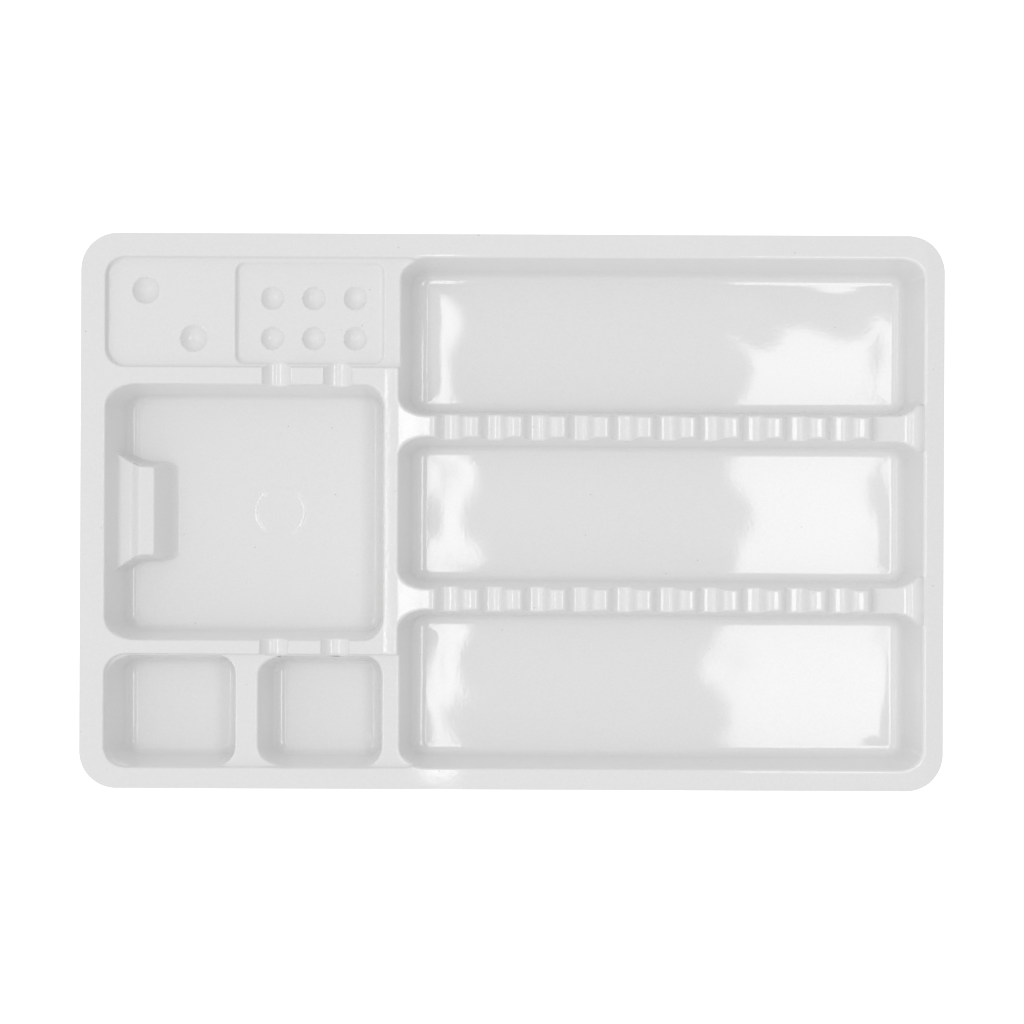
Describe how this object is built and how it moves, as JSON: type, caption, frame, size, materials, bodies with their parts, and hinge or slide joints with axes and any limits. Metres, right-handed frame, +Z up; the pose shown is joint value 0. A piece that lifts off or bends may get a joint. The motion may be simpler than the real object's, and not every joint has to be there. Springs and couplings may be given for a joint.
{
  "type": "compartment tray",
  "caption": "Shallow white formed plastic tray with long and square wells, corrugated dividers, dimpled pads and a flat rim.",
  "frame": {"origin": "centre of the tray's outline, on the plane of the wells' flat undersides", "axes": "+X along the tray from the square well towards the long wells' far ends, +Y across it towards the dimpled pads, +Z up out of the wells"},
  "size_m": [0.28, 0.18, 0.0175],
  "materials": {
    "tray_plastic": "glossy white polystyrene sheet"
  },
  "bodies": {
    "root": {"centre_deck": "tray_plastic", "divider_lower": "tray_plastic", "divider_upper": "tray_plastic", "instrument_ledge": "tray_plastic", "junction_lower": "tray_plastic", "junction_upper": "tray_plastic", "long_well_back": "tray_plastic", "long_well_front": "tray_plastic", "long_well_middle": "tray_plastic", "lower_deck": "tray_plastic", "pad_six_dimples": "tray_plastic", "pad_strip": "tray_plastic", "pad_two_dimples": "tray_plastic", "rim_back": "tray_plastic", "rim_corner_back_left": "tray_plastic", "rim_corner_back_right": "tray_plastic", "rim_corner_front_left": "tray_plastic", "rim_corner_front_right": "tray_plastic", "rim_front": "tray_plastic", "rim_left": "tray_plastic", "rim_right": "tray_plastic", "small_well_left": "tray_plastic", "small_well_right": "tray_plastic", "small_well_strip": "tray_plastic", "small_well_web": "tray_plastic", "square_well": "tray_plastic", "upper_deck": "tray_plastic"}
  },
  "joints": []
}
